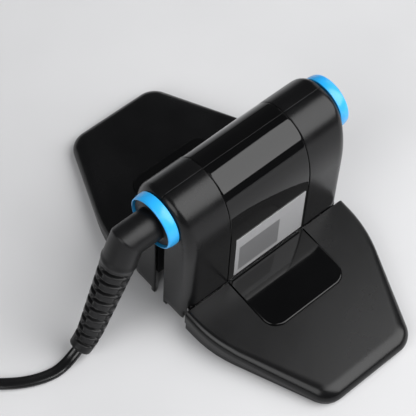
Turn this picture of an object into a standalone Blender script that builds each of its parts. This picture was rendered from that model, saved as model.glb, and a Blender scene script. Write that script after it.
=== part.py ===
"""Folding two-winged collar and travel iron: a squeeze grip, two hinged hot wings, an elbow and a flat lead.

X runs along the grip with the cord end at -X, the near wing lies at -Y, and the soleplates rest on z = 0.
Sizes are in millimetres and are turned into metres where a mesh is made. Every piece of a wing or a grip
half is made by one function that takes side, which is -1 for near and +1 for far.
"""

import math

import bmesh
import bpy
import numpy as np
from mathutils import Matrix, Vector

MM = 0.001
GAP = 0.3
SIDES = {"near": -1, "far": 1}
ENDS = {"cord_end": -1, "free_end": 1}

# Grip
GRIP_LENGTH = 108.4
GRIP_HALF_WIDTH = 23.5
GRIP_HEIGHT = 96.5
CROWN_START = 57.5
CROWN_POWER = 2.3
END_ROUND = 5.0
GRIP_WALL = 2.4
END_WALL = 2.5
SLOT_HALF = 3.7
SLOT_TOP = 66.0
PARTING = 0.15
BAND_LENGTH = 54.0
BAND_THICK = 0.9
FIN_THICK = 2.4
FIN_BOTTOM = 0.6

# Pivot through the blue rings
AXIS_DEPTH = 17.0
SHAFT_RADIUS = 5.0
SHAFT_BORE = 3.4
NECK_RADIUS = 9.0
NECK_LENGTH = 6.2
RING_RADIUS = 15.4
RING_LENGTH = 6.2
RING_WALL = 1.5
RING_TAPER = 0.5
HUB_RECESS = 1.4

# Inner plate, its screws and bosses
PLATE_THICK = 2.0
PLATE_RISE = 1.0
PLATE_TOP = 62.0
SCREW_X = 38.0
SCREW_HEIGHT = 44.0
SCREW_HEAD = 2.6
SCREW_HEAD_DEPTH = 1.1
SCREW_SHANK = 1.3
SCREW_LENGTH = 9.0
BOSS_RADIUS = 3.4

# Wing
SEAM_HEIGHT = 17.0
WING_REACH = 107.4
WING_PROUD = 2.3
WING_SIDE_START = 30.0
WING_SIDE_RADIUS = 70.0
WING_TAPER = 0.42
WING_CORNER = 13.0
WING_SLOPE = 0.084
SHOULDER = 5.5
SHELL_BOTTOM = 7.6
SHELL_TIP = 3.2
SHELL_WALL = 2.2
SHELL_TOP_THICK = 3.0
SKIRT_INSET = 0.8
SKIRT_WALL = 2.2
SKIRT_BOTTOM = 0.9
SOLE_THICK = 3.0
PANEL_REACH = 60.5
PANEL_CORNER = 9.0
PANEL_SLOPE = 0.05
PANEL_SEAT = 1.5

# Wing hinge
HINGE_INSET = 3.0
KNUCKLE_RADIUS = 2.6
PIN_RADIUS = 1.5
CHEEK_THICK = 2.5
CHEEK_REACH = 7.6
END_STEP_OUT = 11.2
END_STEP_IN = 3.8
END_STEP_PLACE = 19.2
ROOT_DEPTH = 7.8
SLOT_RELIEF = 0.2  # how far the root slot cuts into the underside of the wing shell's top
ROOT_SLOT = 3.3

# Inside the wing
HEATER_THICK = 1.5
HEATER_START = 50.0
HEATER_END = 92.0
HEATER_MARGIN = 26.5
PAD_THICK = 1.8
THERMOSTAT = (22.0, 10.0, 4.2)
FUSE_RADIUS = 2.0
FUSE_LENGTH = 16.0

# Rating label and switch
LABEL_LENGTH = 48.0
LABEL_HEIGHT = 34.0
LABEL_RISE = 3.3
LABEL_THICK = 0.3
SWITCH_HEIGHT = 46.0
SWITCH_X = 0.0
SWITCH_TRAVEL = 4.0
KNOB_LENGTH = 8.0
KNOB_WIDTH = 5.0
KNOB_PROUD = 1.6
LENS_X = 14.0
LENS_RADIUS = 1.8

# Elbow strain relief and lead
ELBOW_RADIUS = 9.2
ELBOW_STANDOFF = 0.7
ELBOW_LEAD = 8.8
ELBOW_BEND = 9.6
ELBOW_FALL_DEG = 68.0
ELBOW_STRAIGHT = 58.0
ELBOW_SWEEP = 30.0
ELBOW_END_DEG = 40.0
ELBOW_TIP = 6.2
CORD_WIDTH = 6.4
CORD_THICK = 3.4
CORD_FLOOR = 1.9
CORD_ROUTE = [
    (-108.3, 0.0, 7.5),
    (-112.8, -0.3, 4.6),
    (-118.2, -0.8, 2.6),
    (-124.6, -0.8, CORD_FLOOR),
    (-132.0, 1.0, CORD_FLOOR),
    (-140.5, 4.9, CORD_FLOOR),
    (-149.5, 11.2, CORD_FLOOR),
    (-158.5, 19.4, CORD_FLOOR),
    (-167.5, 28.2, CORD_FLOOR),
    (-173.6, 33.9, CORD_FLOOR),
]
COIL_CENTRE = (-222.8, 17.7)
COIL_OUTER = 49.6
COIL_INNER = 21.6
COIL_BOTTOM = 0.15
COIL_TOP = 7.4
TIE_WIDTH = 12.0
TIE_THICK = 1.0
TIE_GAP = 1.2
TIE_ANGLE_DEG = 200.0
PLUG_SIZE = (26.0, 20.0, 12.0)
PLUG_PLACE = (37.5, 30.0)
PLUG_TURN_DEG = 120.0
BLADE_SIZE = (15.5, 1.5, 6.35)
BLADE_SPACING = 12.7

HINGE_Y = GRIP_HALF_WIDTH - HINGE_INSET
HINGE_Z = SEAM_HEIGHT - HINGE_INSET
ROOT_Y = GRIP_HALF_WIDTH + GAP
END_X = GRIP_LENGTH / 2
AXIS_HEIGHT = GRIP_HEIGHT - AXIS_DEPTH
WING_HALF_WIDTH = END_X + WING_PROUD
HEATER_HALF = WING_HALF_WIDTH - HEATER_MARGIN
PLATE_BOTTOM = SEAM_HEIGHT + PLATE_RISE
LABEL_BOTTOM = SEAM_HEIGHT + LABEL_RISE
INNER_END_X = END_X - END_WALL
RING_BACK = END_X + GAP
RING_FRONT = RING_BACK + RING_LENGTH
HUB_FRONT = RING_FRONT - HUB_RECESS
ELBOW_START = HUB_FRONT + ELBOW_STANDOFF
ELBOW_BEND_X = ELBOW_START + ELBOW_LEAD
CHEEK_OUT = INNER_END_X - 2 * GAP + 0.1
SEAM_CUT = SEAM_HEIGHT + GAP

OBJECTS = bpy.data.collections.new("folding_collar_iron")
CUTTERS = bpy.data.collections.new("cutters")


def clear_scene():
    for obj in list(bpy.data.objects):
        bpy.data.objects.remove(obj, do_unlink=True)
    bpy.context.scene.collection.children.link(OBJECTS)
    bpy.context.scene.collection.children.link(CUTTERS)
    CUTTERS.hide_render = True


def material(name, colour, roughness, metallic=0.0):
    found = bpy.data.materials.get(name)
    if found:
        return found
    made = bpy.data.materials.new(name)
    made.use_nodes = True
    shader = made.node_tree.nodes["Principled BSDF"]
    shader.inputs["Base Color"].default_value = (*colour, 1.0)
    shader.inputs["Roughness"].default_value = roughness
    shader.inputs["Metallic"].default_value = metallic
    return made


SATIN = material("satin_black_plastic", (0.022, 0.022, 0.024), 0.42)
GLOSS = material("gloss_black_plastic", (0.012, 0.012, 0.014), 0.08)
BLUE = material("azure_plastic", (0.03, 0.42, 0.82), 0.3)
SOFT = material("black_soft_plastic", (0.02, 0.02, 0.022), 0.55)
STEEL = material("steel", (0.6, 0.6, 0.62), 0.3, 1.0)
ALUMINIUM = material("cast_aluminium", (0.74, 0.75, 0.76), 0.32, 1.0)
BRASS = material("brass", (0.72, 0.55, 0.28), 0.3, 1.0)
MICA = material("mica_heater", (0.55, 0.45, 0.32), 0.6)
FELT = material("ceramic_felt", (0.86, 0.84, 0.8), 0.9)
CERAMIC = material("ceramic", (0.85, 0.84, 0.8), 0.5)
BOARD = material("circuit_board", (0.05, 0.24, 0.12), 0.5)
SILVER = material("silver_label", (0.55, 0.55, 0.57), 0.35, 0.6)
AMBER = material("amber_lens", (0.9, 0.4, 0.05), 0.15)


def keep(mesh, name, finish, collection=OBJECTS):
    """Puts a mesh in the scene as one named node with its own material."""
    obj = bpy.data.objects.new(name, mesh)
    collection.objects.link(obj)
    if finish:
        mesh.materials.append(finish)
    return obj


def keep_bmesh(bm, name, finish, collection=OBJECTS):
    bmesh.ops.recalc_face_normals(bm, faces=bm.faces)
    mesh = bpy.data.meshes.new(name)
    bm.to_mesh(mesh)
    bm.free()
    return keep(mesh, name, finish, collection)


def smooth(obj, degrees=35):
    obj.data.shade_smooth()
    obj.data.set_sharp_from_angle(angle=math.radians(degrees))
    return obj


def helper(obj):
    """Makes an object a cutter: drawn as wire and left out of the model."""
    obj.hide_render = True
    obj.display_type = "WIRE"
    return obj


def combine(obj, other, operation="DIFFERENCE"):
    modifier = obj.modifiers.new(operation.lower(), "BOOLEAN")
    modifier.operation = operation
    modifier.object = helper(other)
    modifier.solver = "EXACT"
    return obj


def block(name, low, high, finish=None, collection=CUTTERS):
    low, high = np.minimum(low, high), np.maximum(low, high)
    bm = bmesh.new()
    bmesh.ops.create_cube(bm, size=1.0)
    bmesh.ops.scale(bm, vec=Vector((high - low) * MM), verts=bm.verts)
    bmesh.ops.translate(bm, vec=Vector((high + low) / 2 * MM), verts=bm.verts)
    return keep_bmesh(bm, name, finish, collection)


def rod(name, radius, start, end, finish=None, collection=CUTTERS, sides=20):
    """A cylinder of this radius between two points."""
    start, end = Vector(start), Vector(end)
    run = end - start
    bm = bmesh.new()
    bmesh.ops.create_cone(
        bm, cap_ends=True, segments=sides, radius1=radius * MM, radius2=radius * MM, depth=run.length * MM
    )
    turn = run.to_track_quat("Z", "Y").to_matrix().to_4x4()
    place = Matrix.Translation((start + end) / 2 * MM) @ turn
    bmesh.ops.transform(bm, matrix=place, verts=bm.verts)
    return keep_bmesh(bm, name, finish, collection)


def turned(name, profile, centre, finish, collection=OBJECTS, steps=32, upright=False):
    """A profile of (radius, place along the axis) turned about X through centre, or about Z when upright."""
    mesh = bpy.data.meshes.new(name)
    points = [(r * MM, 0.0, z * MM) for r, z in profile]
    edges = [(i, (i + 1) % len(points)) for i in range(len(points))]
    mesh.from_pydata(points, edges, [])
    obj = keep(mesh, name, None, collection)
    screw = obj.modifiers.new("turn", "SCREW")
    screw.axis = "Z"
    screw.steps = screw.render_steps = steps
    screw.use_merge_vertices = True
    screw.merge_threshold = 0.00001
    turn = Matrix.Identity(4) if upright else Matrix.Rotation(math.radians(90), 4, "Y")
    place = Matrix.Translation(Vector(centre) * MM) @ turn
    made = finished_mesh(obj)
    made.transform(place)
    bpy.data.objects.remove(obj)
    bm = bmesh.new()
    bm.from_mesh(made)
    bpy.data.meshes.remove(made)
    return keep_bmesh(bm, name, finish, collection)


def finished_mesh(obj):
    graph = bpy.context.evaluated_depsgraph_get()
    return bpy.data.meshes.new_from_object(obj.evaluated_get(graph))


def welded(curve_object, name, finish, collection, place):
    """Turns a curve object into one closed mesh, in its place, and removes the curve."""
    mesh = finished_mesh(curve_object)
    bpy.data.objects.remove(curve_object)
    mesh.transform(place)
    bm = bmesh.new()
    bm.from_mesh(mesh)
    bpy.data.meshes.remove(mesh)
    bmesh.ops.remove_doubles(bm, verts=bm.verts, dist=0.000001)
    bmesh.ops.dissolve_limit(bm, angle_limit=math.radians(0.3), verts=bm.verts, edges=bm.edges)
    return keep_bmesh(bm, name, finish, collection)


def slab(name, outline, low, high, along="z", finish=None, collection=CUTTERS):
    """A flat outline, in (x, y) for a slab along z or in (y, z) for one along x, between low and high."""
    curve = bpy.data.curves.new(name, "CURVE")
    curve.dimensions = "2D"
    curve.fill_mode = "BOTH"
    curve.extrude = (high - low) / 2 * MM
    spline = curve.splines.new("POLY")
    spline.points.add(len(outline) - 1)
    for point, (u, v) in zip(spline.points, outline):
        point.co = (u * MM, v * MM, 0.0, 1.0)
    spline.use_cyclic_u = True
    obj = bpy.data.objects.new(name, curve)
    CUTTERS.objects.link(obj)
    middle = (low + high) / 2 * MM
    if along == "z":
        place = Matrix.Translation((0.0, 0.0, middle))
    else:
        turn = Matrix(((0, 0, 1, 0), (1, 0, 0, 0), (0, 1, 0, 0), (0, 0, 0, 1)))
        place = Matrix.Translation((middle, 0.0, 0.0)) @ turn
    return welded(obj, name, finish, collection, place)


def tube(name, points, radii, finish, sides=2):
    """A round tube through these points, with filled ends."""
    curve = bpy.data.curves.new(name, "CURVE")
    curve.dimensions = "3D"
    curve.bevel_depth = MM
    curve.bevel_resolution = sides
    curve.use_fill_caps = True
    spline = curve.splines.new("POLY")
    spline.points.add(len(points) - 1)
    for point, place, radius in zip(spline.points, points, radii):
        point.co = (*(Vector(place) * MM), 1.0)
        point.radius = radius
    obj = bpy.data.objects.new(name, curve)
    OBJECTS.objects.link(obj)
    curve.materials.append(finish)
    return obj


def smooth_route(points, step):
    """Catmull-Rom curve through the points, read at about this step."""
    p = np.array(points, float)
    p = np.vstack([2 * p[0] - p[1], p, 2 * p[-1] - p[-2]])
    out = []
    for a, b, c, d in zip(p, p[1:], p[2:], p[3:]):
        for t in np.arange(0.0, 1.0, step / max(np.linalg.norm(c - b), step)):
            spread = 2 * b + (c - a) * t + (2 * a - 5 * b + 4 * c - d) * t**2 + (3 * b - a - 3 * c + d) * t**3
            out.append(spread / 2)
    out.append(p[-2])
    return [tuple(float(v) for v in q) for q in out]


def arc(centre, radius, start_deg, end_deg, pieces):
    """Points on a round arc, both ends included."""
    turns = [math.radians(start_deg + (end_deg - start_deg) * i / pieces) for i in range(pieces + 1)]
    return [(centre[0] + radius * math.cos(t), centre[1] + radius * math.sin(t)) for t in turns]


def grip_section(inset, bottom, pieces=20):
    """Both halves' outline in (y, z): flat walls under a crown that is a superellipse."""
    half, high = GRIP_HALF_WIDTH - inset, GRIP_HEIGHT - CROWN_START - inset
    crown = []
    for i in range(pieces + 1):
        t = math.pi * i / pieces
        c, s = math.cos(t), math.sin(t)
        y = half * math.copysign(abs(c) ** (2 / CROWN_POWER), c)
        crown.append((y, CROWN_START + high * abs(s) ** (2 / CROWN_POWER)))
    return [(half, bottom), *crown, (-half, bottom)]


def half_space(name, side, bottom):
    """Everything on one side of the parting plane, above bottom."""
    return block(name, (-80, side * PARTING, bottom), (80, side * 60, GRIP_HEIGHT + 20))


def end_wall_profile(side):
    """What is cut from under a grip shell's end walls, in (y, z): the fin stays, the wing's swing is left free."""
    fin, low = SLOT_HALF + FIN_THICK, -25.0
    points = [
        (0.0, low),
        (0.0, FIN_BOTTOM),
        (fin, FIN_BOTTOM),
        (fin, END_STEP_IN),
        (END_STEP_PLACE, END_STEP_IN),
        (END_STEP_PLACE, END_STEP_OUT),
        (GRIP_HALF_WIDTH + 5, END_STEP_OUT),
        (GRIP_HALF_WIDTH + 5, low),
    ]
    return [(side * y, z) for y, z in points]


def grip_shell(label, side):
    """One satin half of the grip: crown, side wall and both end walls, open to the slot and downwards."""
    name = f"{label}_grip_shell"
    obj = slab(name, grip_section(0, -8.0), -END_X, END_X, "x", SATIN, OBJECTS)
    bevel = obj.modifiers.new("round_ends", "BEVEL")
    bevel.width = END_ROUND * MM
    bevel.segments = 4
    bevel.limit_method = "ANGLE"
    bevel.angle_limit = math.radians(60)
    combine(obj, half_space(f"{name}_half", side, -12), "INTERSECT")
    combine(obj, slab(f"{name}_cavity", grip_section(GRIP_WALL, -20.0), -INNER_END_X, INNER_END_X, "x"))
    combine(obj, block(f"{name}_bottom", (-INNER_END_X - GAP, 0, -20), (INNER_END_X + GAP, side * 60, SEAM_CUT)))
    combine(obj, slab(f"{name}_steps", end_wall_profile(side), -80, 80, "x"))
    slot = [(0, -20), (SLOT_HALF, -20), (SLOT_HALF, SLOT_TOP), (1.0, SLOT_TOP + 5.0), (0, SLOT_TOP + 5.0)]
    combine(obj, slab(f"{name}_slot", [(side * y, z) for y, z in slot], -80, 80, "x"))
    recess = ring_section(BAND_THICK + GAP, -6.0, SEAM_CUT - 10)
    combine(obj, slab(f"{name}_recess", recess, -BAND_LENGTH / 2, BAND_LENGTH / 2, "x"))
    neck = rod(f"{name}_neck", NECK_RADIUS + GAP, (-80, 0, AXIS_HEIGHT), (80, 0, AXIS_HEIGHT), sides=32)
    combine(obj, neck)
    for end, sign in ENDS.items():
        start, stop = INNER_END_X - 1, INNER_END_X + 1.2
        hole = [(sign * x, side * HINGE_Y, HINGE_Z) for x in (start, stop)]
        combine(obj, rod(f"{name}_{end}_pin_hole", PIN_RADIUS + GAP, *hole))
        combine(obj, screw_boss(f"{name}_{end}_boss", side, sign), "UNION")
        hole = [(sign * SCREW_X, side * y, SCREW_HEIGHT) for y in (SLOT_HALF, SLOT_HALF + SCREW_LENGTH + 2)]
        combine(obj, rod(f"{name}_{end}_boss_hole", SCREW_SHANK + GAP, *hole))
    if label == "far":
        combine(obj, switch_window(f"{name}_window", side))
        combine(obj, lens_hole(f"{name}_lens_hole", side))
    return smooth(obj)


def ring_section(inset, outset, bottom):
    """The band between the grip's section pushed in by inset and the same section pushed out, in (y, z)."""
    inner, outer = grip_section(inset, bottom), grip_section(outset, bottom)
    return outer + inner[::-1]


def screw_boss(name, side, sign):
    inner = SLOT_HALF + PLATE_THICK + GAP
    ends = [(sign * SCREW_X, side * y, SCREW_HEIGHT) for y in (inner, GRIP_HALF_WIDTH - 1.5)]
    return rod(name, BOSS_RADIUS, *ends)


def band_cover(label, side):
    """The glossy cover over the middle of one grip half, from the crown's parting to the wing's seam."""
    name = f"{label}_band_cover"
    half = BAND_LENGTH / 2 - GAP
    obj = slab(name, ring_section(BAND_THICK, 0, SEAM_CUT), -half, half, "x", GLOSS, OBJECTS)
    combine(obj, half_space(f"{name}_half", side, 0), "INTERSECT")
    if label == "far":
        combine(obj, switch_window(f"{name}_window", side))
        combine(obj, lens_hole(f"{name}_lens_hole", side))
    return smooth(obj)


def switch_window(name, side):
    half = (KNOB_LENGTH + SWITCH_TRAVEL) / 2 + GAP
    middle = SWITCH_X + SWITCH_TRAVEL / 2
    low = (middle - half, side * (GRIP_HALF_WIDTH - 6), SWITCH_HEIGHT - KNOB_WIDTH / 2 - GAP)
    high = (middle + half, side * (GRIP_HALF_WIDTH + 6), SWITCH_HEIGHT + KNOB_WIDTH / 2 + GAP)
    return block(name, low, high)


def lens_hole(name, side):
    ends = [(SWITCH_X + LENS_X, side * (GRIP_HALF_WIDTH + d), SWITCH_HEIGHT) for d in (-6, 6)]
    return rod(name, LENS_RADIUS + GAP, *ends)


def inner_plate(label, side):
    """The flat cover on a grip half's slot side, with two sunk screws."""
    name = f"{label}_inner_plate"
    inner, outer = side * SLOT_HALF, side * (SLOT_HALF + PLATE_THICK)
    half = INNER_END_X - GAP
    obj = block(name, (-half, inner, PLATE_BOTTOM), (half, outer, PLATE_TOP), SOFT, OBJECTS)
    for end, sign in ENDS.items():
        at = [(sign * SCREW_X, side * y, SCREW_HEIGHT) for y in (SLOT_HALF - 1, SLOT_HALF + 1.3)]
        combine(obj, rod(f"{name}_{end}_sink", SCREW_HEAD + GAP, *at))
        through = [(sign * SCREW_X, side * y, SCREW_HEIGHT) for y in (SLOT_HALF - 1, SLOT_HALF + 5)]
        combine(obj, rod(f"{name}_{end}_hole", SCREW_SHANK + GAP, *through))
    return obj


def plate_screw(label, side, end, sign):
    name = f"{label}_{end}_plate_screw"
    head_start = SLOT_HALF
    head = [(sign * SCREW_X, side * y, SCREW_HEIGHT) for y in (head_start, head_start + SCREW_HEAD_DEPTH - 0.1)]
    obj = rod(name, SCREW_HEAD, *head, finish=STEEL, collection=OBJECTS)
    shank = [(sign * SCREW_X, side * y, SCREW_HEIGHT) for y in (head_start + 0.5, head_start + SCREW_LENGTH)]
    combine(obj, rod(f"{name}_shank", SCREW_SHANK, *shank, sides=12), "UNION")
    return smooth(obj)


def wing_outline(inset, root, root_half=None, root_end=None):
    """A wing's plan in (x, y) for the far side: straight root, bulged sides, rounded corners, straight outer edge.

    The side is a straight run, an arc of WING_SIDE_RADIUS and a tangent line of slope WING_TAPER; a corner arc
    tangent to that line and to the outer edge closes it. root_half narrows the plan up to root_end.
    """
    lean = math.atan(WING_TAPER)
    centre_x = WING_HALF_WIDTH - WING_SIDE_RADIUS
    side = arc((centre_x, WING_SIDE_START), WING_SIDE_RADIUS - inset, 0, math.degrees(lean), 5)
    corner = max(WING_CORNER - inset, 1.0)
    end_x, end_y = side[-1]
    corner_y = WING_REACH - inset - corner
    corner_x = end_x - WING_TAPER * (corner_y - end_y) - corner / math.cos(lean)
    right = [(WING_HALF_WIDTH - inset, root), *side]
    if root_half is not None:
        right = [(root_half, root), (root_half, root_end)]
        right += [(WING_HALF_WIDTH - inset, root_end)] + [p for p in side if p[1] > root_end + 0.5]
    right += arc((corner_x, corner_y), corner, math.degrees(lean), 90, 4)
    return right + [(-x, y) for x, y in reversed(right)]


def sided(outline, side):
    return [(x, side * y) for x, y in outline]


def sloped(obj, side, heights, lower=False):
    """Moves a slab's upper points, or its lower ones, to the sloping height that belongs to their y."""
    middle = np.mean([v.co.z for v in obj.data.vertices])
    for vertex in obj.data.vertices:
        if (vertex.co.z < middle) == lower:
            vertex.co.z = heights(side * vertex.co.y / MM) * MM
    return obj


def wing_top(y):
    return SEAM_HEIGHT - WING_SLOPE * (y - GRIP_HALF_WIDTH)


def shell_bottom(y):
    """The shell's lower rim, which falls evenly from the fold to the tip."""
    return SHELL_BOTTOM - (SHELL_BOTTOM - SHELL_TIP) * (y - ROOT_Y) / (WING_REACH - ROOT_Y)


def panel_top(y):
    return SEAM_HEIGHT - PANEL_SLOPE * (y - GRIP_HALF_WIDTH)


def mark_shoulder(obj, side, width):
    """Rounds the upper rim of a wing shell, apart from the edge at the fold."""
    bm = bmesh.new()
    bm.from_mesh(obj.data)
    weight = bm.edges.layers.float.new("bevel_weight_edge")
    for edge in bm.edges:
        high = [v.co.z > wing_top(side * v.co.y / MM) * MM - 0.0001 for v in edge.verts]
        fold = [side * v.co.y < (ROOT_Y + 0.1) * MM for v in edge.verts]
        flat = [abs(face.normal.z) > 0.9 for face in edge.link_faces]
        if all(high) and not all(fold) and any(flat) and not all(flat):
            edge[weight] = 1.0
    bm.to_mesh(obj.data)
    bm.free()
    bevel = obj.modifiers.new("shoulder", "BEVEL")
    bevel.width = width * MM
    bevel.segments = 4
    bevel.limit_method = "WEIGHT"


def panel_outline(clearance):
    """The glossy panel's plan in (x, y), with two rounded outer corners, grown by clearance."""
    half, reach = BAND_LENGTH / 2 + clearance, PANEL_REACH + clearance
    corner = PANEL_CORNER + clearance
    right = [(half, ROOT_Y), *arc((half - corner, reach - corner), corner, 0, 90, 6)]
    return right + [(-x, y) for x, y in reversed(right)]


def wing_shell(label, side):
    """The satin top shell of a wing: hollow from below, with a rounded shoulder and a seat for the panel."""
    name = f"{label}_wing_shell"
    obj = slab(name, sided(wing_outline(0, ROOT_Y), side), SHELL_BOTTOM, SEAM_HEIGHT, "z", SATIN, OBJECTS)
    sloped(sloped(obj, side, shell_bottom, lower=True), side, wing_top)
    mark_shoulder(obj, side, SHOULDER)
    cavity_plan = sided(wing_outline(SHELL_WALL, ROOT_Y + SHELL_WALL), side)
    cavity = slab(f"{name}_cavity", cavity_plan, SHELL_TIP - 5, SEAM_HEIGHT, "z")
    combine(obj, sloped(cavity, side, lambda y: wing_top(y) - SHELL_TOP_THICK))
    slot_top = wing_top(ROOT_Y + ROOT_DEPTH) - SHELL_TOP_THICK + SLOT_RELIEF
    for end, sign in ENDS.items():
        combine(obj, root_slot(f"{name}_{end}_slot", side, sign, slot_top))
    seat_plan = [(x, y - (5 if y < ROOT_Y + 1 else 0)) for x, y in panel_outline(0)]
    seat = slab(f"{name}_seat", sided(seat_plan, side), 0, 60, "z")
    middle = 30 * MM
    for vertex in seat.data.vertices:
        if vertex.co.z < middle:
            vertex.co.z = (wing_top(side * vertex.co.y / MM) - PANEL_SEAT) * MM
    combine(obj, seat)
    return smooth(obj)


def wing_panel(label, side):
    """The glossy panel that carries the band's line on over the wing; its outer rim stands proud."""
    name = f"{label}_wing_panel"
    obj = slab(name, sided(panel_outline(-GAP), side), 0, 60, "z", GLOSS, OBJECTS)
    for vertex in obj.data.vertices:
        y = side * vertex.co.y / MM
        low = vertex.co.z < 30 * MM
        vertex.co.z = (wing_top(y) - PANEL_SEAT + GAP if low else panel_top(y)) * MM
    return smooth(obj)


def root_slot(name, side, sign, top):
    """What is cut from a wing's root so that the grip's end wall can pass when the wing folds."""
    low = (sign * CHEEK_OUT, side * (ROOT_Y - 5), -5)
    high = (sign * (CHEEK_OUT + ROOT_SLOT), side * (ROOT_Y + ROOT_DEPTH), top)
    return block(name, low, high)


def wing_skirt(label, side):
    """The lower housing of a wing: a ring wall with two hinge cheeks, slotted where the grip's end walls pass."""
    name = f"{label}_wing_skirt"
    top = SHELL_BOTTOM - GAP
    obj = slab(name, sided(wing_outline(SKIRT_INSET, ROOT_Y), side), SKIRT_BOTTOM, top, "z", SATIN, OBJECTS)
    sloped(obj, side, lambda y: shell_bottom(y) - GAP)
    inset = SKIRT_INSET + SKIRT_WALL
    root_half = CHEEK_OUT - SKIRT_WALL
    inner_end = ROOT_Y + ROOT_DEPTH + SKIRT_WALL
    cavity = wing_outline(inset, ROOT_Y + SKIRT_WALL, root_half, inner_end)
    combine(obj, slab(f"{name}_cavity", sided(cavity, side), -5, 30, "z"))
    for end, sign in ENDS.items():
        combine(obj, root_slot(f"{name}_{end}_slot", side, sign, 30))
        combine(obj, hinge_cheek(f"{name}_{end}_cheek", side, sign, top), "UNION")
        hole = [(sign * x, side * HINGE_Y, HINGE_Z) for x in (CHEEK_OUT - CHEEK_THICK - 2, CHEEK_OUT + 2)]
        combine(obj, rod(f"{name}_{end}_hole", PIN_RADIUS + GAP, *hole))
    return smooth(obj)


def hinge_cheek(name, side, sign, top):
    """A plate that reaches in under the grip and holds the hinge pin, in (y, z)."""
    inner, root = HINGE_Y - CHEEK_REACH, ROOT_Y + 1.5
    rise, low, top = HINGE_Z - 0.2, SKIRT_BOTTOM + 0.15, top - 0.2
    outline = [(inner, low), (root, low), (root, top), (HINGE_Y + KNUCKLE_RADIUS, top)]
    outline += arc((HINGE_Y, HINGE_Z), KNUCKLE_RADIUS, 0, 180, 8)
    outline += [(HINGE_Y - KNUCKLE_RADIUS, rise), (inner + 4, rise), (inner, rise - 4)]
    outer = CHEEK_OUT - 0.1
    low, high = sorted((sign * outer, sign * (outer - CHEEK_THICK)))
    return slab(name, [(side * y, z) for y, z in outline], low, high, "x")


def hinge_pin(label, side, end, sign):
    start, stop = CHEEK_OUT - CHEEK_THICK - 1.0, INNER_END_X + 0.9
    ends = [(sign * x, side * HINGE_Y, HINGE_Z) for x in (start, stop)]
    return smooth(rod(f"{label}_{end}_hinge_pin", PIN_RADIUS, *ends, finish=STEEL, collection=OBJECTS))


def soleplate(label, side):
    """The flat aluminium plate that irons, standing a little below the skirt."""
    name = f"{label}_soleplate"
    inset = SKIRT_INSET + SKIRT_WALL + GAP
    root_half = CHEEK_OUT - SKIRT_WALL - GAP
    root_end = ROOT_Y + ROOT_DEPTH + SKIRT_WALL + GAP
    plan = wing_outline(inset, ROOT_Y + SKIRT_WALL + GAP, root_half, root_end)
    return smooth(slab(name, sided(plan, side), 0, SOLE_THICK, "z", ALUMINIUM, OBJECTS))


def heater(label, side):
    low = (-HEATER_HALF, side * HEATER_START, SOLE_THICK + GAP)
    high = (HEATER_HALF, side * HEATER_END, SOLE_THICK + GAP + HEATER_THICK)
    return block(f"{label}_heater", low, high, MICA, OBJECTS)


def insulation_pad(label, side):
    base = SOLE_THICK + 2 * GAP + HEATER_THICK
    low = (-HEATER_HALF - 2, side * (HEATER_START - 2), base)
    high = (HEATER_HALF + 2, side * (HEATER_END + 2), base + PAD_THICK)
    return block(f"{label}_insulation_pad", low, high, FELT, OBJECTS)


def thermostat(label, side):
    length, depth, high = THERMOSTAT
    base = SOLE_THICK + GAP
    low = (-length / 2, side * (HEATER_START - 14), base)
    return block(f"{label}_thermostat", low, (length / 2, side * (HEATER_START - 14 + depth), base + high), CERAMIC, OBJECTS)


def thermal_fuse(label, side):
    y, z = side * (HEATER_START - 9), SOLE_THICK + GAP + FUSE_RADIUS
    ends = [(THERMOSTAT[0] / 2 + 4, y, z), (THERMOSTAT[0] / 2 + 4 + FUSE_LENGTH, y, z)]
    return smooth(rod(f"{label}_thermal_fuse", FUSE_RADIUS, *ends, finish=BRASS, collection=OBJECTS, sides=14))


def pivot_shaft():
    """The steel tube that both grip halves turn about; the lead's cores run through it."""
    half = INNER_END_X + 1.3
    profile = [(SHAFT_BORE, half), (SHAFT_RADIUS, half), (SHAFT_RADIUS, -half), (SHAFT_BORE, -half)]
    return smooth(turned("pivot_shaft", profile, (0, 0, AXIS_HEIGHT), STEEL, steps=24))


def hub(end, sign, bore):
    """A black hub inside a blue ring: its neck is the journal for the grip halves."""
    back, seat = RING_BACK - NECK_LENGTH, INNER_END_X + 1.6
    disc = RING_RADIUS - RING_WALL - GAP
    hole = SHAFT_RADIUS + GAP
    profile = [(hole, back), (NECK_RADIUS, back), (NECK_RADIUS, RING_BACK), (disc, RING_BACK)]
    profile += [(disc, HUB_FRONT), (bore, HUB_FRONT), (bore, seat), (hole, seat)]
    if bore == 0:
        profile = profile[:5] + [(0.0, HUB_FRONT), (0.0, seat), (hole, seat)]
    profile = [(r, sign * x) for r, x in profile]
    return smooth(turned(f"{end}_hub", profile, (0, 0, AXIS_HEIGHT), SOFT))


def ring(end, sign):
    """The blue ring, slightly narrower at its front rim."""
    inner, front = RING_RADIUS - RING_WALL, RING_RADIUS - RING_TAPER
    profile = [(inner, RING_BACK), (RING_RADIUS, RING_BACK), (RING_RADIUS, RING_FRONT - 3.0)]
    profile += [(front, RING_FRONT - 0.4), (front - 0.5, RING_FRONT), (inner, RING_FRONT)]
    return smooth(turned(f"{end}_ring", [(r, sign * x) for r, x in profile], (0, 0, AXIS_HEIGHT), BLUE, steps=40))


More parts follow.
